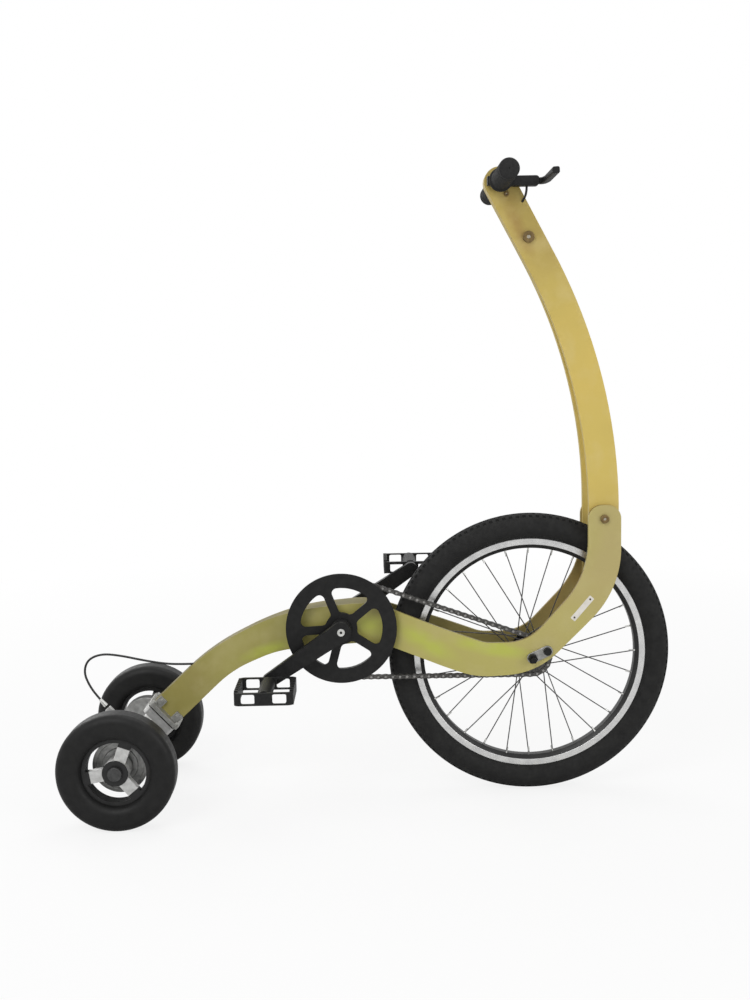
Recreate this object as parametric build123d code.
from build123d import *
import math
import os

# Stand-up three-wheeler: one driven front wheel in a two-plate frame, a tall bent upright with a
# short bar, and two small rear wheels on a sprung truck that steers as the rider leans.
# Millimetres, +X forward, +Y to the rider's left, +Z up, floor at Z = 0.

# Wheels
RIM_OUTER_R = 206.0
RIM_DEPTH = 18.0
RIM_WIDTH = 26.0
RIM_INNER_R = RIM_OUTER_R - RIM_DEPTH
FRONT_TYRE_HEIGHT = 44.0
FRONT_TYRE_WIDTH = 44.0
FRONT_R = RIM_OUTER_R + FRONT_TYRE_HEIGHT
REAR_RIM_R = 57.0
REAR_TYRE_HEIGHT = 43.0
REAR_TYRE_WIDTH = 50.0
REAR_R = REAR_RIM_R + REAR_TYRE_HEIGHT
WHEELBASE = 710.0
REAR_TRACK = 320.0
RUN_GAP = 0.3

# Axle centres: the origin is midway between the front and rear ends of the tyres.
REAR_X = -(WHEELBASE + FRONT_R - REAR_R) / 2
FRONT_X = REAR_X + WHEELBASE
FRONT = (FRONT_X, FRONT_R)
REAR = (REAR_X, REAR_R)

# Drive
CHAIN_PITCH = 12.7
RING_TEETH = 44
SPROCKET_TEETH = 16
CHAIN_LINKS = 84
BRACKET_RISE = 58.0
CHAIN_LINE = -37.0
ROLLER_R = 3.9
TOOTH_THICK = 3.0
LINK_HEIGHT = 8.4
LINK_WAIST = 6.2
LINK_PLATE = 1.2
LINK_INSIDE = 4.6

# Front hub, whose freewheel lies on the chain line
FREEWHEEL_FRONT = 4.0
FREEWHEEL_BACK = 6.5
FREEWHEEL_OUTER = CHAIN_LINE - FREEWHEEL_FRONT
FREEWHEEL_INNER = CHAIN_LINE + FREEWHEEL_BACK
HUB_LEFT = -FREEWHEEL_OUTER
CONE_THICK = 1.0

# Frame plates
PLATE = 7.0
TAIL_HALF = 14.0
WAIST_HALF = 28.0
TAPER_FROM = -140.0
TAPER_TO = -32.0
FORK_HALF = HUB_LEFT + CONE_THICK + PLATE
TAIL_AIM = (-214.7, -56.8)
TAIL_DEPTH = 56.0
TAIL_START = 82.0
SPLAY_LEAD = 4.0
SPLAY_RUN = 100.0
SPLAY_FROM = FRONT_X - FRONT_R - SPLAY_LEAD
SPLAY_TO = SPLAY_FROM + SPLAY_RUN
TYRE_ROOM = 7.0

# Upright and bar
UPRIGHT_WIDTH = 72.0
TOP_WIDTH = 26.0
ARM_THICK = 10.5
ARM_DROP = 125.0
UPRIGHT_DEPTH = 52.0
UPRIGHT_LEAN = 28.0
UPRIGHT_BEND_R = 924.0
PIVOT_ROOM = 23.3
PIVOT_ANGLE = math.radians(62.31)
BAR_BACK = 48.0
BAR_RISE = 820.0
PIVOT = (FRONT_X + (FRONT_R + PIVOT_ROOM) * math.cos(PIVOT_ANGLE),
         FRONT_R + (FRONT_R + PIVOT_ROOM) * math.sin(PIVOT_ANGLE))
BAR = (FRONT_X - BAR_BACK, FRONT_R + BAR_RISE)
BAR_R = 11.1
BAR_WALL = 2.1
BAR_WIDTH = 320.0
GRIP_R = 17.0
GRIP_FLANGE_R = 20.0
GRIP_FLANGE = 8.0
GRIP_CAP = 3.0
GRIP_ROOM = 2.0
PERCH_INNER = TOP_WIDTH / 2 + 3.0
PERCH_WIDTH = 17.0
BOLT_R = 5.0
BOLT_HEAD_R = 10.0
PIVOT_HEAD_R = 7.5
BOLT_HEAD = 5.0
HEAD_BOLT_DROP = 105.0

# Cranks and pedals
CRANK_LENGTH = 152.0
CRANK_ANGLE = 213.5
CRANK_INNER = 62.0
CRANK_THICK = 14.0
SPINDLE_R = 8.5
SHELL_R = 20.0
SHELL_HALF = 33.0
PEDAL_SPINDLE_R = 6.0
PEDAL_COLLAR = 8.0
PEDAL_INNER = CRANK_INNER + CRANK_THICK + PEDAL_COLLAR
PEDAL_WIDTH = 104.0
PEDAL_LENGTH = 98.0
PEDAL_HEIGHT = 25.0

# Front axle
AXLE_R = 4.75
AXLE_NUT_R = 8.7
AXLE_NUT = 9.0
AXLE_FREE = 10.0
TENSIONER_PLATE = 3.0
AXLE_HALF = FORK_HALF + TENSIONER_PLATE + AXLE_NUT + AXLE_FREE

# Rear truck
REAR_AXLE_R = 6.0
HANGER_R = 14.0
NECK_R = 22.0
NECK_TOP = 71.7
BASE_PLATE = 7.0
KINGPIN_R = 6.0
KINGPIN_FOOT = 18.0
REAR_RIM_WALL = 6.0
DRUM_ROOM = 4.0
DRUM_R = REAR_RIM_R - REAR_RIM_WALL - DRUM_ROOM
HUB_BACK = 20.5
HUB_FRONT = 16.0
DRUM_DEPTH = 22.0
DRUM_SPACER = 5.5
HUB_INNER = REAR_TRACK / 2 - HUB_BACK
HUB_OUTER = REAR_TRACK / 2 + HUB_FRONT
DRUM_OUTER = HUB_INNER - DRUM_SPACER
DRUM_INNER = DRUM_OUTER - DRUM_DEPTH

CABLE_R = 2.0


def chain_centres():
    """Distance between ring and sprocket centres that the whole chain fits without slack."""
    spare = CHAIN_LINKS - (RING_TEETH + SPROCKET_TEETH) / 2
    lead = ((RING_TEETH - SPROCKET_TEETH) / (2 * math.pi)) ** 2
    return CHAIN_PITCH * (spare + math.sqrt(spare**2 - 8 * lead)) / 4


CENTRES = chain_centres()
BRACKET = (FRONT_X - math.sqrt(CENTRES**2 - BRACKET_RISE**2), FRONT_R + BRACKET_RISE)
RING_R = CHAIN_PITCH / (2 * math.sin(math.pi / RING_TEETH))
SPROCKET_R = CHAIN_PITCH / (2 * math.sin(math.pi / SPROCKET_TEETH))
TAIL_SLOPE = math.atan2(BRACKET[1] + TAIL_AIM[1] - REAR[1], BRACKET[0] + TAIL_AIM[0] - REAR[0])
TAIL_LENGTH = math.hypot(BRACKET[0] + TAIL_AIM[0] - REAR[0], BRACKET[1] + TAIL_AIM[1] - REAR[1])
TAIL_DIR = (math.cos(TAIL_SLOPE), math.sin(TAIL_SLOPE))
TAIL_UP = (-TAIL_DIR[1], TAIL_DIR[0])


def slab(sketch, y_low, y_high):
    """A side-view (X, Z) sketch given its width from y_low to y_high."""
    plane = Plane((0, y_high, 0), x_dir=(1, 0, 0), z_dir=(0, -1, 0))
    return extrude(plane * sketch, y_high - y_low)


def cross_pin(centre, radius, y_low, y_high):
    """A round bar across the frame at a side-view point."""
    return slab(Pos(*centre) * Circle(radius), y_low, y_high)


def turned(section, centre):
    """A (Y, radius) section revolved about the cross axis through a side-view point."""
    plane = Plane((centre[0], 0, centre[1]), x_dir=(0, 1, 0), z_dir=(1, 0, 0))
    return revolve(plane * section, Axis((centre[0], 0, centre[1]), (0, 1, 0)))


def ring_section(y_low, y_high, r_low, r_high):
    return Pos((y_low + y_high) / 2, (r_low + r_high) / 2) * Rectangle(y_high - y_low, r_high - r_low)


def along_tail(distance, rise=0.0):
    """Side-view point on the line from the rear axle up the tail."""
    return (REAR[0] + distance * TAIL_DIR[0] + rise * TAIL_UP[0],
            REAR[1] + distance * TAIL_DIR[1] + rise * TAIL_UP[1])


def tail_pin(radius, start, end):
    """A round bar on the steering axis, measured up from the rear axle."""
    foot = along_tail(start)
    plane = Plane((foot[0], 0, foot[1]), x_dir=(0, 1, 0), z_dir=(TAIL_DIR[0], 0, TAIL_DIR[1]))
    return extrude(plane * Circle(radius), end - start)


ARC_SHARE = 0.48


def widest_arcs(points):
    """The largest tangent arc at each inner point that its two runs leave room for."""
    runs = [Vector(*b) - Vector(*a) for a, b in zip(points, points[1:])]
    radii = []
    for one, two in zip(runs, runs[1:]):
        half_turn = math.radians(one.get_angle(two)) / 2
        radii.append(ARC_SHARE * min(one.length, two.length) / math.tan(half_turn))
    return radii


def edge_line(start, rows, end):
    """Straight runs with round corners: rows are (anchor point, dx, dz, corner radius)."""
    points = [start] + [(anchor[0] + dx, anchor[1] + dz) for anchor, dx, dz, radius in rows] + [end]
    wanted = [radius for anchor, dx, dz, radius in rows]
    return FilletPolyline(*points, radius=[min(pair) for pair in zip(wanted, widest_arcs(points))])


def face_between(one, other):
    sides = [Line(one @ 1, other @ 1), Line(other @ 0, one @ 0)]
    return make_face(one.edges() + other.edges() + sides)


def cable(points):
    """A cable along straight runs and the largest tangent arcs that the runs allow."""
    path = FilletPolyline(*points, radius=widest_arcs(points))
    start = Plane(path @ 0, z_dir=path % 0)
    return sweep(start * Circle(CABLE_R), path)


# Frame: side-view outline of both plates, then their bend in plan and in front view
PLATE_TOP_RISE = 24.0
PLATE_TOP_BACK = 28.0
PLATE_TOP_AHEAD = 29.0
PLATE_TOP = (PIVOT[0] - PLATE_TOP_BACK, PIVOT[1] + PLATE_TOP_RISE)
PLATE_TOP_FRONT = (PIVOT[0] + PLATE_TOP_AHEAD, PIVOT[1] + PLATE_TOP_RISE)
UPPER_EDGE = [
    (along_tail(TAIL_LENGTH, TAIL_DEPTH / 2), 0.0, 0.0, 400.0),
    (BRACKET, -98.0, 30.0, 390.0),
    (BRACKET, 51.5, 43.0, 150.0),
    (FRONT, -82.0, 28.0, 60.0),
    (FRONT, -8.0, 28.0, 135.0),
    (PIVOT, -PLATE_TOP_BACK, -99.4, 180.0),
]
LOWER_EDGE = [
    (along_tail(TAIL_LENGTH, -TAIL_DEPTH / 2), 0.0, 0.0, 200.0),
    (BRACKET, -110.0, -41.5, 200.0),
    (BRACKET, 58.0, -27.0, 200.0),
    (FRONT, -98.0, -33.0, 150.0),
    (FRONT, 8.0, -27.0, 150.0),
    (PIVOT, PLATE_TOP_AHEAD, -124.0, 240.0),
]
PLATE_TOP_ROUND = 24.0
SPLAY_ROUND = 90.0
BAND_SPLIT = FRONT_X + 10.0
NARROW_BELOW = 92.0
NARROW_RUN = 100.0
NARROW_TO = PIVOT[1] - NARROW_BELOW
NARROW_FROM = NARROW_TO - NARROW_RUN
FAR_X = 600.0
FAR_Z = 1200.0


def frame_outline():
    upper = edge_line(along_tail(TAIL_START, TAIL_DEPTH / 2), UPPER_EDGE, PLATE_TOP)
    lower = edge_line(along_tail(TAIL_START, -TAIL_DEPTH / 2), LOWER_EDGE, PLATE_TOP_FRONT)
    outline = face_between(upper, lower)
    return fillet(outline.vertices().sort_by(Axis.Y)[-2:], PLATE_TOP_ROUND)


def plan(offset):
    """The right plate's outer face seen from above, moved inwards by offset."""
    return FilletPolyline((-FAR_X, -TAIL_HALF + offset), (BRACKET[0] + TAPER_FROM, -TAIL_HALF + offset),
                          (BRACKET[0] + TAPER_TO, -WAIST_HALF + offset), (SPLAY_FROM, -WAIST_HALF + offset),
                          (SPLAY_TO, -FORK_HALF + offset), (BAND_SPLIT, -FORK_HALF + offset),
                          radius=SPLAY_ROUND)


def right_plate():
    """Plate on the rider's right: narrow at the tail, splayed round the wheel, drawn in at the top."""
    def front_view(offset):
        top = -UPRIGHT_WIDTH / 2 - PLATE + offset
        return FilletPolyline((-FORK_HALF + offset, 0), (-FORK_HALF + offset, NARROW_FROM),
                              (top, NARROW_TO), (top, FAR_Z), radius=SPLAY_ROUND)

    outline = slab(frame_outline(), -FORK_HALF - PLATE, 0)
    rear = extrude(face_between(plan(0), plan(PLATE)), FAR_Z)
    front_plane = Plane((BAND_SPLIT, 0, 0), x_dir=(0, 1, 0), z_dir=(1, 0, 0))
    front = extrude(front_plane * face_between(front_view(0), front_view(PLATE)), FAR_X)
    plate = (outline & rear) + (outline & front)
    plate -= cross_pin(BRACKET, SHELL_R, -FORK_HALF, 0)
    plate -= cross_pin(FRONT, AXLE_R, -FORK_HALF, 0)
    return plate - cross_pin(PIVOT, BOLT_R, -FORK_HALF, 0)


def frame_core():
    """Laminated filler between the plates, from the tail to just behind the front tyre."""
    inside = WAIST_HALF - PLATE
    filler = face_between(plan(PLATE), mirror(plan(PLATE), Plane.XZ))
    core = slab(frame_outline(), -inside, inside) & extrude(filler, FAR_Z)
    core &= slab(Pos(SPLAY_FROM - FAR_X / 2, FAR_Z / 2) * Rectangle(FAR_X, FAR_Z), -inside, inside)
    core -= cross_pin(FRONT, FRONT_R + TYRE_ROOM, -inside, inside)
    return core - cross_pin(BRACKET, SHELL_R, -inside, inside)


# Upright: a wishbone of even depth, bent back in one long arc, its two arms astride the tyre
LEAN = math.radians(UPRIGHT_LEAN)
UPRIGHT_DOWN = (math.sin(LEAN), -math.cos(LEAN))
HEAD_BOLT = (BAR[0] + HEAD_BOLT_DROP * UPRIGHT_DOWN[0], BAR[1] + HEAD_BOLT_DROP * UPRIGHT_DOWN[1])
ARM_STRAIGHT = 28.0
ARM_MEET = 390.0
ARM_MEET_HALF = 3.0
TOP_STRAIGHT = 110.0


def upright():
    half = UPRIGHT_DEPTH / 2

    def edge(side):
        foot_x = PIVOT[0] + side * half
        top = (BAR[0] + side * half * math.cos(LEAN), BAR[1] + side * half * math.sin(LEAN))
        bend_z = top[1] - (foot_x - top[0]) / math.tan(LEAN)
        foot = (foot_x, PIVOT[1] - ARM_DROP)
        return FilletPolyline(foot, (foot_x, bend_z), top, radius=UPRIGHT_BEND_R + side * half)

    outer = UPRIGHT_WIDTH / 2
    neck = TOP_WIDTH / 2
    inner = outer - ARM_THICK
    knee = PIVOT[1] + ARM_STRAIGHT
    crotch = PIVOT[1] + ARM_MEET
    head = BAR[1] - TOP_STRAIGHT
    side_line = [(outer, 0), (outer, knee), (neck, head), (neck, FAR_Z)]
    void_line = [(inner, 0), (inner, knee), (ARM_MEET_HALF, crotch)]
    front = Polygon(*side_line, *[(-y, z) for y, z in reversed(side_line)], align=None)
    front -= Polygon(*void_line, *[(-y, z) for y, z in reversed(void_line)], align=None)
    side_view = face_between(edge(-1), edge(1)) + Pos(*BAR) * Circle(half)
    side_view -= Pos(PIVOT[0], PIVOT[1] - FAR_Z / 2) * Rectangle(FAR_X, FAR_Z) - frame_outline()
    beam = slab(side_view, -outer, outer)
    beam &= extrude(Plane((0, 0, 0), x_dir=(0, 1, 0), z_dir=(1, 0, 0)) * front, FAR_X)
    for centre, radius in ((BAR, BAR_R), (PIVOT, BOLT_R), (HEAD_BOLT, BOLT_R)):
        beam -= cross_pin(centre, radius, -UPRIGHT_WIDTH, UPRIGHT_WIDTH)
    return beam


def through_bolt(centre, half_grip, head_r):
    bolt = cross_pin(centre, BOLT_R, -half_grip - BOLT_HEAD, half_grip + BOLT_HEAD)
    for side in (-1, 1):
        ends = sorted((side * half_grip, side * (half_grip + BOLT_HEAD)))
        bolt += cross_pin(centre, head_r, *ends)
    return bolt


SCREW_AHEAD = 12.0
SCREW_DROP = 20.0
SCREW_R = 4.5
SCREW_HEAD = 2.5


def joint_bolts():
    """Bolt through plates and arms, bolt through the head, and the bar's clamp screw."""
    face = -TOP_WIDTH / 2
    screw = cross_pin((BAR[0] + SCREW_AHEAD, BAR[1] - SCREW_DROP), SCREW_R, face - SCREW_HEAD, face)
    pivot_bolt = through_bolt(PIVOT, UPRIGHT_WIDTH / 2 + PLATE, PIVOT_HEAD_R)
    return [pivot_bolt, through_bolt(HEAD_BOLT, TOP_WIDTH / 2, BOLT_HEAD_R), screw]


def handlebar():
    half = BAR_WIDTH / 2 - GRIP_CAP
    return turned(ring_section(-half, half, BAR_R - BAR_WALL, BAR_R), BAR)


def grip(side, inner):
    """Rubber grip closed over the bar's end, with a flange at its inner end."""
    outer = BAR_WIDTH / 2
    ends = sorted((side * inner, side * outer))
    flange_ends = sorted((side * inner, side * (inner + GRIP_FLANGE)))
    body = cross_pin(BAR, GRIP_R, *ends) + cross_pin(BAR, GRIP_FLANGE_R, *flange_ends)
    ends = sorted((side * inner, side * (outer - GRIP_CAP)))
    return body - cross_pin(BAR, BAR_R, *ends)


PERCH_REACH = 66.0
PERCH_HEIGHT = 17.0
PERCH_LUG = 22.0
PERCH_LUG_HEIGHT = 15.0
PERCH_ROUND = 6.0
PERCH_CLAMP_R = 16.0
PERCH_DROP = 1.0
LEVER_DEPTH = 12.0
LEVER_THICK = 11.0
LEVER_ROUND = 3.0
LEVER_ROOT = 7.0
LEVER_SWEEP = 16.0
LEVER_BEND_R = 7.0
LEVER_RISE = 1.0
LEVER_REACH = 78.0
LEVER_END = 135.0


def brake_perch():
    """Clamp round the bar with a lug behind and a body that carries the lever's pivot in front."""
    y_low = -PERCH_INNER - PERCH_WIDTH
    middle = (BAR[0] + PERCH_REACH / 2, BAR[1] - PERCH_DROP)
    body = Pos(*middle) * RectangleRounded(PERCH_REACH, PERCH_HEIGHT, PERCH_ROUND)
    lug = Pos(BAR[0] - PERCH_LUG / 2, BAR[1]) * Rectangle(PERCH_LUG, PERCH_LUG_HEIGHT)
    perch = slab(Pos(*BAR) * Circle(PERCH_CLAMP_R) + body + lug, y_low, -PERCH_INNER)
    return perch - cross_pin(BAR, BAR_R, y_low, -PERCH_INNER)


def brake_lever():
    """Finger blade that leaves the perch's front, bends outwards and runs along the grip."""
    y_root = -PERCH_INNER - PERCH_WIDTH / 2
    x_root = BAR[0] + PERCH_REACH
    x_blade = BAR[0] + LEVER_REACH
    z_root = BAR[1] - PERCH_DROP
    z_blade = z_root + LEVER_RISE
    points = [(x_root, y_root, z_root), (x_root + LEVER_ROOT, y_root, z_root),
              (x_blade, y_root - LEVER_SWEEP, z_blade), (x_blade, -LEVER_END, z_blade)]
    path = FilletPolyline(*points, radius=LEVER_BEND_R)
    section = RectangleRounded(LEVER_DEPTH, LEVER_THICK, LEVER_ROUND)
    return sweep(Plane(path @ 0, x_dir=(0, 1, 0), z_dir=path % 0) * section, path)


BAR_CABLE_X = BAR[0] + 45.0
BAR_CABLE_Y = -PERCH_INNER - PERCH_WIDTH / 2
BAR_CABLE_Z = BAR[1] - PERCH_DROP - PERCH_HEIGHT / 2
BAR_CABLE = [
    (BAR_CABLE_X, BAR_CABLE_Y, BAR_CABLE_Z),
    (BAR_CABLE_X, BAR_CABLE_Y, BAR_CABLE_Z - 12.0),
    (BAR_CABLE_X - 6.0, BAR_CABLE_Y + 14.0, BAR_CABLE_Z - 25.0),
    (BAR_CABLE_X - 15.0, BAR_CABLE_Y + 22.0, BAR_CABLE_Z - 34.0),
]
TAIL_CABLE = [
    (-318.0, 0.0, 239.5),
    (-340.0, 0.0, 239.0),
    (-372.0, 0.0, 240.5),
    (-412.0, 0.0, 248.0),
    (-450.0, 0.0, 257.0),
    (-484.0, 0.0, 261.0),
    (-509.0, 0.0, 251.0),
    (-517.0, 0.0, 228.0),
    (-508.0, 0.0, 203.0),
    (-493.0, 0.0, 181.0),
    (-479.5, 0.0, 165.5),
]


# Chain drive: pins lie on a loop of ring arc, upper run, sprocket arc and lower run
LOOP_TILT = math.atan2(FRONT[1] - BRACKET[1], FRONT[0] - BRACKET[0])
LOOP_FLARE = math.asin((RING_R - SPROCKET_R) / CENTRES)
RING_WRAP = RING_TEETH * (math.pi + 2 * LOOP_FLARE) / (2 * math.pi)
SPROCKET_WRAP = SPROCKET_TEETH * (math.pi - 2 * LOOP_FLARE) / (2 * math.pi)
RUN_LINKS = (CHAIN_LINKS - RING_WRAP - SPROCKET_WRAP) / 2


def on_circle(centre, radius, angle):
    return (centre[0] + radius * math.cos(angle), centre[1] + radius * math.sin(angle))


UPPER_ANGLE = LOOP_TILT + math.pi / 2 - LOOP_FLARE
LOWER_ANGLE = LOOP_TILT - math.pi / 2 + LOOP_FLARE


def loop_point(links, rise=0.0):
    """Point that many links along the chain, from the ring's lower tangent, clockwise in side view."""
    links %= CHAIN_LINKS
    if links < RING_WRAP:
        return on_circle(BRACKET, RING_R + rise, LOWER_ANGLE - links * 2 * math.pi / RING_TEETH)
    links -= RING_WRAP
    runs = [(BRACKET, RING_R, FRONT, SPROCKET_R, UPPER_ANGLE),
            (FRONT, SPROCKET_R, BRACKET, RING_R, LOWER_ANGLE)]
    for from_centre, from_r, to_centre, to_r, angle in runs:
        if links < RUN_LINKS:
            a = on_circle(from_centre, from_r + rise, angle)
            b = on_circle(to_centre, to_r + rise, angle)
            share = links / RUN_LINKS
            return (a[0] + share * (b[0] - a[0]), a[1] + share * (b[1] - a[1]))
        links -= RUN_LINKS
        if from_centre is BRACKET:
            if links < SPROCKET_WRAP:
                turn = links * 2 * math.pi / SPROCKET_TEETH
                return on_circle(FRONT, SPROCKET_R + rise, UPPER_ANGLE - turn)
            links -= SPROCKET_WRAP
    return on_circle(BRACKET, RING_R + rise, LOWER_ANGLE)


TOOTH_GAP_R = ROLLER_R + 0.25
TOOTH_TIP = 3.4
TOOTH_ROOM = 0.5


def clear_of_teeth(point):
    reach = TOOTH_TIP + TOOTH_ROOM + ROLLER_R
    wheels = ((BRACKET, RING_R), (FRONT, SPROCKET_R))
    return all(math.dist(point, centre) > radius + reach for centre, radius in wheels)


def chain():
    """Two rows of waisted side plates, joined by rollers wherever no tooth runs between them."""
    def border(side):
        heights = (LINK_HEIGHT / 2, LINK_WAIST / 2)
        points = [loop_point(i / 2, side * heights[i % 2]) for i in range(2 * CHAIN_LINKS)]
        return make_face(Polyline(*points, close=True).edges())

    row = border(1) - border(-1)
    inside = LINK_INSIDE / 2
    centres = [loop_point(i) for i in range(CHAIN_LINKS)]
    rollers = Sketch() + [Pos(*at) * Circle(ROLLER_R) for at in centres if clear_of_teeth(at)]
    loop = slab(row, CHAIN_LINE + inside, CHAIN_LINE + inside + LINK_PLATE)
    loop += slab(row, CHAIN_LINE - inside - LINK_PLATE, CHAIN_LINE - inside)
    return loop + slab(rollers, CHAIN_LINE - inside, CHAIN_LINE + inside)


def toothed(teeth, pitch_r, first_angle):
    """Sprocket outline with round gaps that open outwards, one gap at first_angle (radians)."""
    flare = CHAIN_PITCH / 2 - 0.3
    gap = Circle(TOOTH_GAP_R) + Polygon((0, -TOOTH_GAP_R), (0, TOOTH_GAP_R), (TOOTH_TIP + 1, flare),
                                        (TOOTH_TIP + 1, -flare), align=None)
    gaps = PolarLocations(pitch_r, teeth, start_angle=math.degrees(first_angle)) * gap
    return Circle(pitch_r + TOOTH_TIP) - gaps


GUARD_R = RING_R + 8.0
GUARD_BAND = 25.0
GUARD_OUTER = CHAIN_LINE - 9.0
GUARD_THICK = 3.5
RING_BAND_R = RING_R - 7.0
SPIDER_HUB_R = 28.0
SPIDER_ARMS = 5
SPIDER_ARM_WIDTH = 15.0
SPIDER_TURN = 5.5
SPIDER_BACK = CHAIN_LINE - 2.0
WINDOW_ROUND = 9.0


def chainring():
    """Toothed ring behind a smooth guard ring, both carried by a five-armed spider."""
    first = LOWER_ANGLE
    inner_r = GUARD_R - GUARD_BAND
    teeth = toothed(RING_TEETH, RING_R, first) - Circle(inner_r)
    half_tooth = TOOTH_THICK / 2
    ring = slab(Pos(*BRACKET) * teeth, CHAIN_LINE - half_tooth, CHAIN_LINE + half_tooth)
    web = Circle(RING_BAND_R) - Circle(inner_r)
    ring += slab(Pos(*BRACKET) * web, GUARD_OUTER, CHAIN_LINE - half_tooth)
    arm = Pos((inner_r + GUARD_BAND / 2) / 2, 0) * Rectangle(inner_r + GUARD_BAND / 2, SPIDER_ARM_WIDTH)
    guard = Circle(GUARD_R) - Circle(inner_r) + Circle(SPIDER_HUB_R) + PolarLocations(0, SPIDER_ARMS) * arm
    window_corners = [v for v in guard.vertices() if Vector(v.X, v.Y).length < inner_r + WINDOW_ROUND]
    guard = Rot(0, 0, CRANK_ANGLE - 180 + SPIDER_TURN) * fillet(window_corners, WINDOW_ROUND)
    ring += slab(Pos(*BRACKET) * guard, GUARD_OUTER, GUARD_OUTER + GUARD_THICK)
    ring += cross_pin(BRACKET, SPIDER_HUB_R, GUARD_OUTER, SPIDER_BACK)
    return ring - cross_pin(BRACKET, SPINDLE_R, GUARD_OUTER, SPIDER_BACK)


def sprocket():
    """Freewheel on the hub's right end."""
    links_to_gap = math.ceil(RING_WRAP + RUN_LINKS) - (RING_WRAP + RUN_LINKS)
    first = UPPER_ANGLE - links_to_gap * 2 * math.pi / SPROCKET_TEETH
    half = TOOTH_THICK / 2
    wheel = slab(Pos(*FRONT) * toothed(SPROCKET_TEETH, SPROCKET_R, first), CHAIN_LINE - half, CHAIN_LINE + half)
    wheel += cross_pin(FRONT, FREEWHEEL_R, FREEWHEEL_OUTER, FREEWHEEL_INNER)
    return wheel - cross_pin(FRONT, HUB_BOSS_R + RUN_GAP, FREEWHEEL_OUTER, FREEWHEEL_INNER)


# Front wheel
HUB_BOSS_R = 15.0
FREEWHEEL_R = SPROCKET_R - 10.5
HUB_RIGHT = FREEWHEEL_INNER + 0.5
HUB_BARREL_R = 16.0
FLANGE_R = 27.0
FLANGE_THICK = 3.0
FLANGES = (HUB_RIGHT + 5.0, HUB_LEFT - 12.0)
TYRE_INSET = 1.0
BRAKE_TRACK = 11.0
SPOKE_BED = 0.55
SPOKES = 28
SPOKE_R = 1.0
SPOKE_HUB_R = 23.0
SPOKE_SWING = 52.0
SPOKE_SEAT = 2.0
SPOKE_RIM_Y = (6.5, 2.5)
SPOKE_HUB_OFFSET = (2.6, -2.6)


def front_tyre():
    half = FRONT_TYRE_WIDTH / 2
    seat = RIM_WIDTH / 2 - TYRE_INSET
    wall_r = (RIM_OUTER_R + FRONT_R) / 2
    crown = [ThreePointArc((side * seat, RIM_OUTER_R), (side * half, wall_r), (0, FRONT_R)) for side in (1, -1)]
    return turned(make_face(crown + [Line((-seat, RIM_OUTER_R), (seat, RIM_OUTER_R))]), FRONT)


def front_rim():
    """Double-wall rim: flat brake tracks, then walls that draw in to a round spoke bed."""
    half = RIM_WIDTH / 2
    bed = half * SPOKE_BED
    shoulder = RIM_OUTER_R - BRAKE_TRACK
    points = [(-half, RIM_OUTER_R), (half, RIM_OUTER_R), (half, shoulder), (bed, RIM_INNER_R),
              (-bed, RIM_INNER_R), (-half, shoulder)]
    return turned(Polygon(*points, align=None), FRONT)


def front_hub():
    hub = cross_pin(FRONT, HUB_BARREL_R, HUB_RIGHT, HUB_LEFT)
    hub += cross_pin(FRONT, HUB_BOSS_R, FREEWHEEL_OUTER, HUB_RIGHT)
    for y in FLANGES:
        hub += cross_pin(FRONT, FLANGE_R, y - FLANGE_THICK / 2, y + FLANGE_THICK / 2)
    return hub - cross_pin(FRONT, AXLE_R + RUN_GAP, FREEWHEEL_OUTER, HUB_LEFT)


def front_spokes():
    """Tangential spokes, alternately to each flange and alternately leading and trailing."""
    wires = []
    for i in range(SPOKES):
        side = i % 2
        trailing = (i // 2) % 2
        rim_angle = math.radians(i * 360 / SPOKES)
        swing = math.radians(SPOKE_SWING if trailing else -SPOKE_SWING)
        outward = 1 if side else -1
        rim = on_circle(FRONT, RIM_INNER_R + SPOKE_SEAT, rim_angle)
        hub = on_circle(FRONT, SPOKE_HUB_R, rim_angle + swing)
        hub_y = FLANGES[side] + outward * SPOKE_HUB_OFFSET[trailing]
        rim_y = outward * SPOKE_RIM_Y[trailing]
        start = Vector(hub[0], hub_y, hub[1])
        run = Vector(rim[0], rim_y, rim[1]) - start
        wires.append(extrude(Plane(start, z_dir=run) * Circle(SPOKE_R), run.length))
    return wires


def front_axle():
    return cross_pin(FRONT, AXLE_R, -AXLE_HALF, AXLE_HALF)


CONE_R = 9.0


def axle_hardware():
    """On each side an inner cone against the plate, and outside it the nut."""
    pieces = []
    seat = FORK_HALF + TENSIONER_PLATE
    for side in (-1, 1):
        nut_ends = sorted((side * seat, side * (seat + AXLE_NUT)))
        nut = slab(Pos(*FRONT) * RegularPolygon(AXLE_NUT_R, 6), *nut_ends)
        cone_ends = sorted((side * (FORK_HALF - PLATE), side * (HUB_LEFT + RUN_GAP)))
        cone = cross_pin(FRONT, CONE_R, *cone_ends)
        pieces += [piece - cross_pin(FRONT, AXLE_R, -AXLE_HALF, AXLE_HALF) for piece in (nut, cone)]
    return pieces


TENSIONER_AHEAD = 26.0
TENSIONER_RISE = 12.0
TENSIONER_WIDTH = 19.0
TENSIONER_CAP_R = 7.0
TENSIONER_CAP = 9.0


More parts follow.
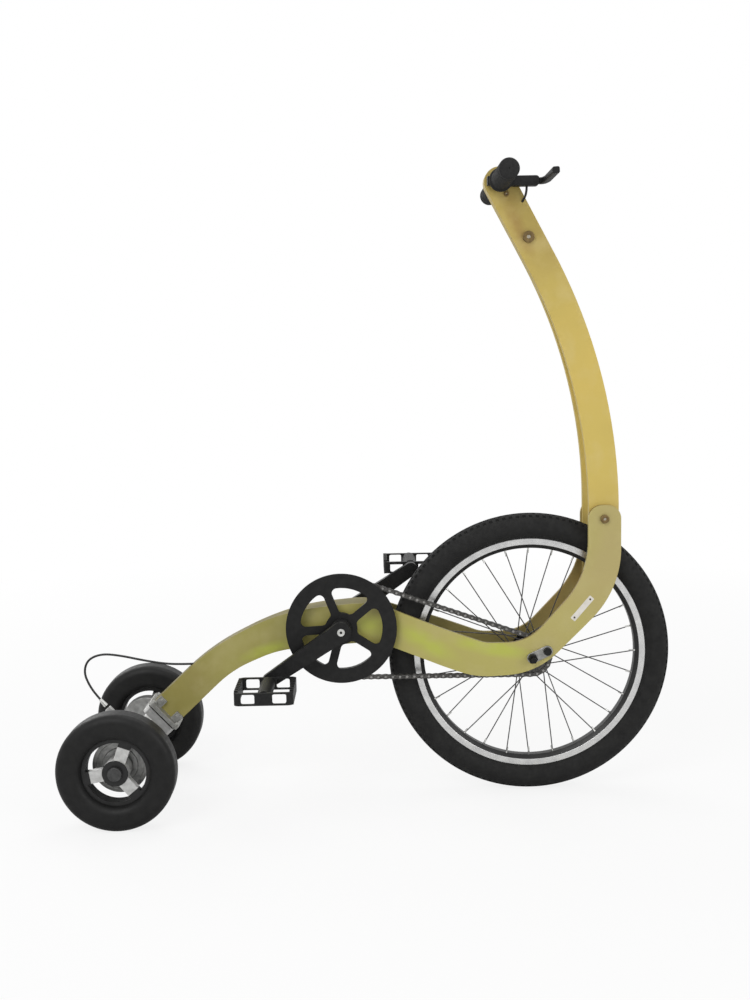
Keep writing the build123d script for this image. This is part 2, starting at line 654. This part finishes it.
def chain_tensioner():
    """Strap on each plate from the axle to a capped bolt ahead of it."""
    straps = []
    reach = math.hypot(TENSIONER_AHEAD, TENSIONER_RISE)
    tilt = math.degrees(math.atan2(TENSIONER_RISE, TENSIONER_AHEAD))
    middle = (FRONT_X + TENSIONER_AHEAD / 2, FRONT_R + TENSIONER_RISE / 2)
    bolt = (FRONT_X + TENSIONER_AHEAD, FRONT_R + TENSIONER_RISE)
    for side in (-1, 1):
        ends = sorted((side * FORK_HALF, side * (FORK_HALF + TENSIONER_PLATE)))
        cap = sorted((side * FORK_HALF, side * (FORK_HALF + TENSIONER_CAP)))
        strap = slab(Pos(*middle) * SlotCenterToCenter(reach, TENSIONER_WIDTH, rotation=tilt), *ends)
        strap += cross_pin(bolt, TENSIONER_CAP_R, *cap)
        straps.append(strap - cross_pin(FRONT, AXLE_R, -AXLE_HALF, AXLE_HALF))
    return straps


# Crankset
CUP_LIP = 2.0


def bottom_bracket():
    """Shell through plates and core, with a lipped cup outside each plate."""
    shell = cross_pin(BRACKET, SHELL_R, -SHELL_HALF, SHELL_HALF)
    for side in (-1, 1):
        ends = sorted((side * WAIST_HALF, side * SHELL_HALF))
        shell += cross_pin(BRACKET, SHELL_R + CUP_LIP, *ends)
    return shell - cross_pin(BRACKET, SPINDLE_R + RUN_GAP, -SHELL_HALF, SHELL_HALF)


SPINDLE_END = CRANK_INNER + 6.0


def bb_spindle():
    return cross_pin(BRACKET, SPINDLE_R, -SPINDLE_END, SPINDLE_END)


CRANK_ROOT = 34.0
CRANK_TIP = 24.0
CRANK_BOSS_R = 18.0
CRANK_BOSS_LEFT = 38.0


def pedal_point(side):
    angle = math.radians(CRANK_ANGLE if side < 0 else CRANK_ANGLE - 180)
    return on_circle(BRACKET, CRANK_LENGTH, angle)


def crank(side):
    """Tapered arm with round ends and a boss that reaches in to the spindle's shoulder."""
    angle = CRANK_ANGLE if side < 0 else CRANK_ANGLE - 180
    arm = Circle(CRANK_ROOT / 2) + Pos(CRANK_LENGTH, 0) * Circle(CRANK_TIP / 2)
    arm = make_hull(arm.edges())
    ends = sorted((side * CRANK_INNER, side * (CRANK_INNER + CRANK_THICK)))
    piece = slab(Pos(*BRACKET) * Rot(0, 0, angle) * arm, *ends)
    boss_end = -GUARD_OUTER if side < 0 else CRANK_BOSS_LEFT
    piece += cross_pin(BRACKET, CRANK_BOSS_R, *sorted((side * boss_end, side * CRANK_INNER)))
    piece -= cross_pin(BRACKET, SPINDLE_R, -SPINDLE_END, SPINDLE_END)
    return piece - cross_pin(pedal_point(side), PEDAL_SPINDLE_R, *ends)


PEDAL_BARREL_R = 12.5
PEDAL_CAP = 3.0
COLLAR_R = PEDAL_SPINDLE_R + 2.0


def pedal_spindles():
    spindles = []
    for side in (-1, 1):
        ends = sorted((side * CRANK_INNER, side * (PEDAL_INNER + PEDAL_WIDTH - PEDAL_CAP - RUN_GAP)))
        collar = sorted((side * (CRANK_INNER + CRANK_THICK), side * (PEDAL_INNER - RUN_GAP)))
        pin = cross_pin(pedal_point(side), PEDAL_SPINDLE_R, *ends)
        spindles.append(pin + cross_pin(pedal_point(side), COLLAR_R, *collar))
    return spindles


PEDAL_RAIL = 7.0
PEDAL_END = 6.0
PEDAL_END_HEIGHT = 6.0
PEDAL_RIB = 5.0
PEDAL_TEETH = 8
PEDAL_TOOTH_DEPTH = 4.0
PEDAL_NOTCH = 5.0
PEDAL_CORNER = 9.0


def pedal(side):
    """Cage pedal: barrel on the spindle, two toothed rails, two end bars and a middle rib."""
    at = pedal_point(side)
    low, high = sorted((side * PEDAL_INNER, side * (PEDAL_INNER + PEDAL_WIDTH)))
    middle = (low + high) / 2
    plan = Plane((at[0], middle, at[1] - PEDAL_HEIGHT / 2), x_dir=(1, 0, 0), z_dir=(0, 0, 1))
    outer = RectangleRounded(PEDAL_LENGTH, PEDAL_WIDTH, PEDAL_CORNER)
    inside = (PEDAL_LENGTH - 2 * PEDAL_RAIL, PEDAL_WIDTH - 2 * PEDAL_END)
    body = extrude(plan * (outer - Rectangle(*inside) + Rectangle(inside[0], PEDAL_RIB)), PEDAL_HEIGHT)
    between_rails = Pos(*at) * Rectangle(inside[0], PEDAL_END_HEIGHT)
    over_rails = Pos(*at) * Rectangle(inside[0], PEDAL_HEIGHT)
    body -= slab(over_rails - between_rails, low, high)
    body += cross_pin(at, PEDAL_BARREL_R, low, high)
    step = inside[1] / PEDAL_TEETH
    for face in (-1, 1):
        notch_z = at[1] + face * (PEDAL_HEIGHT - PEDAL_TOOTH_DEPTH) / 2
        for tooth in range(PEDAL_TEETH):
            notch_y = middle + (tooth + 0.5 - PEDAL_TEETH / 2) * step
            body -= Pos(at[0], notch_y, notch_z) * Box(PEDAL_LENGTH, PEDAL_NOTCH, PEDAL_TOOTH_DEPTH)
    bore = sorted((side * PEDAL_INNER, side * (PEDAL_INNER + PEDAL_WIDTH - PEDAL_CAP)))
    return body - cross_pin(at, PEDAL_SPINDLE_R + RUN_GAP, *bore)


# Rear truck
BASE_WIDTH = 60.0
BASE_DEPTH = 68.0
BUSHING_R = 21.0
NECK_FLANGE = 14.0
NECK_FLANGE_WIDTH = 54.0
NECK_FLANGE_DEPTH = 62.0
EAR_THICK = 5.0
EAR_DEPTH = 15.0
EAR_HEIGHT = 16.0
EAR_RISE = 20.0
EAR_BOLT_R = 4.5
EAR_BOLT = 3.5
CORNER_BOLT_Y = 24.5
CORNER_BOLT_RISE = 28.0
CORNER_BOLT_R = 4.0
STOP_WIDTH = 8.0
STOP_DEPTH = 12.0
STOP_REACH = 77.0
STOP_SHIFT = 7.0
BASE_ROUND = 6.0
WEB_HALF = 9.0
WEB_FOOT = 84.0
WEB_TOP = 46.0


def tail_plane(distance):
    foot = along_tail(distance)
    return Plane((foot[0], 0, foot[1]), x_dir=(0, 1, 0), z_dir=(TAIL_DIR[0], 0, TAIL_DIR[1]))


def base_plate():
    """Flange across the tail's end, which carries the kingpin, with bolted ears on both of the tail's sides."""
    outline = RectangleRounded(BASE_WIDTH, BASE_DEPTH, BASE_ROUND)
    plate = extrude(tail_plane(TAIL_START - BASE_PLATE) * outline, BASE_PLATE)
    for side in (-1, 1):
        for rise in (-EAR_RISE, EAR_RISE):
            ear = Pos(side * (TAIL_HALF + EAR_THICK / 2), rise) * Rectangle(EAR_THICK, EAR_DEPTH)
            plate += extrude(tail_plane(TAIL_START) * ear, EAR_HEIGHT)
            bolt_face = TAIL_HALF + EAR_THICK
            ends = sorted((side * bolt_face, side * (bolt_face + EAR_BOLT)))
            plate += cross_pin(along_tail(TAIL_START + EAR_HEIGHT / 2, rise), EAR_BOLT_R, *ends)
        for rise in (-CORNER_BOLT_RISE, CORNER_BOLT_RISE):
            head = Pos(side * CORNER_BOLT_Y, rise) * Circle(CORNER_BOLT_R)
            plate += extrude(tail_plane(TAIL_START) * head, EAR_BOLT)
    return plate


def kingpin():
    return tail_pin(KINGPIN_R, KINGPIN_FOOT, TAIL_START - BASE_PLATE)


def bushing():
    ring = tail_pin(BUSHING_R, NECK_TOP + RUN_GAP, TAIL_START - BASE_PLATE)
    return ring - tail_pin(KINGPIN_R, KINGPIN_FOOT, TAIL_START)


def hanger():
    """Cross tube on the rear axle, with a flanged neck that turns on the kingpin and a web on each side."""
    body = cross_pin(REAR, HANGER_R, -DRUM_INNER, DRUM_INNER) + tail_pin(NECK_R, 0, NECK_TOP)
    flange = RectangleRounded(NECK_FLANGE_WIDTH, NECK_FLANGE_DEPTH, BASE_ROUND)
    body += extrude(tail_plane(NECK_TOP - NECK_FLANGE) * flange, NECK_FLANGE)
    corner = along_tail(0, -WEB_HALF)
    web_plane = Plane((corner[0], 0, corner[1]), x_dir=(0, 1, 0), z_dir=(TAIL_UP[0], 0, TAIL_UP[1]))
    web = Polygon((-WEB_FOOT, 0), (WEB_FOOT, 0), (0, -WEB_TOP * WEB_FOOT / (WEB_FOOT - NECK_R)), align=None)
    web &= Pos(0, -WEB_TOP / 2) * Rectangle(2 * WEB_FOOT, WEB_TOP)
    body += extrude(web_plane * web, 2 * WEB_HALF)
    body -= tail_pin(KINGPIN_R + RUN_GAP, KINGPIN_FOOT - RUN_GAP, NECK_TOP)
    return body - cross_pin(REAR, REAR_AXLE_R, -DRUM_INNER, DRUM_INNER)


def cable_stop():
    """Arm from the cross tube to the brake cable's end."""
    foot = HANGER_R - 1.0
    length = STOP_REACH - foot
    middle = along_tail(STOP_SHIFT, foot + length / 2)
    arm = Pos(*middle) * Rot(0, 0, math.degrees(TAIL_SLOPE)) * Rectangle(STOP_DEPTH, length)
    arm = slab(arm, -STOP_WIDTH / 2, STOP_WIDTH / 2)
    return arm - cross_pin(REAR, HANGER_R, -STOP_WIDTH, STOP_WIDTH) - tail_pin(NECK_R, 0, NECK_TOP)


def rear_axle():
    return cross_pin(REAR, REAR_AXLE_R, -AXLE_END, AXLE_END)


AXLE_END = HUB_OUTER + 6.0
DOME = 1.0
DOME_R = 12.0
SPACER_R = 10.0


def rear_axle_nuts():
    nuts = []
    for side in (-1, 1):
        nut_ends = sorted((side * (HUB_OUTER + RUN_GAP), side * (AXLE_END + DOME)))
        bore_ends = sorted((side * HUB_OUTER, side * AXLE_END))
        nuts.append(cross_pin(REAR, DOME_R, *nut_ends) - cross_pin(REAR, REAR_AXLE_R, *bore_ends))
    return nuts


DRUM_RIB = 2.0
DRUM_STEPS = (DRUM_R - 7.0, DRUM_R - 17.0, DRUM_R - 26.0)


def brake_drum(side):
    """Brake housing fixed on the axle inside the wheel, its face turned in shallow steps."""
    ends = sorted((side * DRUM_INNER, side * (DRUM_OUTER - DRUM_RIB)))
    drum = cross_pin(REAR, DRUM_R, *ends)
    face = side * (DRUM_OUTER - DRUM_RIB)
    for outer, inner in ((DRUM_R, DRUM_STEPS[0]), (DRUM_STEPS[1], DRUM_STEPS[2])):
        step = cross_pin(REAR, outer, *sorted((face, side * DRUM_OUTER)))
        drum += step - cross_pin(REAR, inner, *sorted((face, side * DRUM_OUTER)))
    drum += cross_pin(REAR, SPACER_R, *sorted((face, side * (HUB_INNER - RUN_GAP))))
    return drum - cross_pin(REAR, REAR_AXLE_R, *sorted((side * DRUM_INNER, side * HUB_INNER)))


REAR_RIM_WIDTH = 40.0
REAR_HUB_R = 22.0
REAR_SPOKES = 3
REAR_SPOKE_WIDTH = 21.0
REAR_SPOKE_OUTER = REAR_TRACK / 2 + 12.0
REAR_SPOKE_THICK = 12.0
REAR_SPOKE_ANGLE = 70.0
REAR_SHOULDER = 14.0


def rear_tyre(side):
    half = REAR_TYRE_WIDTH / 2
    middle = side * REAR_TRACK / 2
    at = Pos(middle, (REAR_RIM_R + REAR_R) / 2)
    return turned(at * RectangleRounded(2 * half, REAR_TYRE_HEIGHT, REAR_SHOULDER), REAR)


def rear_wheel(side):
    """Cast wheel: rim, three flat spokes and a hub that runs on the axle."""
    middle = side * REAR_TRACK / 2
    half = REAR_RIM_WIDTH / 2
    wheel = turned(ring_section(middle - half, middle + half, REAR_RIM_R - REAR_RIM_WALL, REAR_RIM_R), REAR)
    reach = REAR_RIM_R - REAR_RIM_WALL / 2
    spoke = Pos(reach / 2, 0) * Rectangle(reach, REAR_SPOKE_WIDTH)
    star = PolarLocations(0, REAR_SPOKES, start_angle=REAR_SPOKE_ANGLE) * spoke
    ends = sorted((side * (REAR_SPOKE_OUTER - REAR_SPOKE_THICK), side * REAR_SPOKE_OUTER))
    wheel += slab(Pos(*REAR) * (Sketch() + star), *ends)
    wheel += cross_pin(REAR, REAR_HUB_R, *sorted((side * HUB_INNER, side * HUB_OUTER)))
    return wheel - cross_pin(REAR, REAR_AXLE_R + RUN_GAP, *sorted((side * HUB_INNER, side * HUB_OUTER)))


def make_parts():
    right = right_plate()
    tail_cable = cable(TAIL_CABLE)
    grip_inner = PERCH_INNER + PERCH_WIDTH + GRIP_ROOM
    return {
        "side_plate_right": right,
        "side_plate_left": mirror(right, Plane.XZ),
        "frame_core": frame_core() - tail_cable,
        "upright": upright() - cable(BAR_CABLE),
        "joint_bolts": joint_bolts(),
        "handlebar": handlebar(),
        "grip_right": grip(-1, grip_inner),
        "grip_left": grip(1, TOP_WIDTH / 2 + GRIP_ROOM),
        "brake_perch": brake_perch(),
        "brake_lever": brake_lever(),
        "brake_cable_bar": cable(BAR_CABLE),
        "brake_cable_tail": tail_cable,
        "bottom_bracket": bottom_bracket(),
        "front_axle": front_axle(),
        "axle_hardware": axle_hardware(),
        "chain_tensioner": chain_tensioner(),
        "chain": chain(),
        "base_plate": base_plate(),
        "kingpin": kingpin(),
        "bushing": bushing(),
        "front_tyre": front_tyre(),
        "front_rim": front_rim(),
        "front_hub": front_hub(),
        "front_spokes": front_spokes(),
        "sprocket": sprocket(),
        "bb_spindle": bb_spindle(),
        "chainring": chainring(),
        "crank_right": crank(-1),
        "crank_left": crank(1),
        "pedal_spindles": pedal_spindles(),
        "pedal_right": pedal(-1),
        "pedal_left": pedal(1),
        "hanger": hanger(),
        "rear_axle": rear_axle(),
        "rear_axle_nuts": rear_axle_nuts(),
        "brake_drum_right": brake_drum(-1),
        "brake_drum_left": brake_drum(1),
        "cable_stop": cable_stop(),
        "rear_tyre_right": rear_tyre(-1),
        "rear_tyre_left": rear_tyre(1),
        "rear_rim_right": rear_wheel(-1),
        "rear_rim_left": rear_wheel(1),
    }


def main():
    os.makedirs("parts", exist_ok=True)
    for name, shape in make_parts().items():
        solids = shape if isinstance(shape, list) else [shape]
        export_step(Compound(children=solids), os.path.join("parts", name + ".step"))


main()
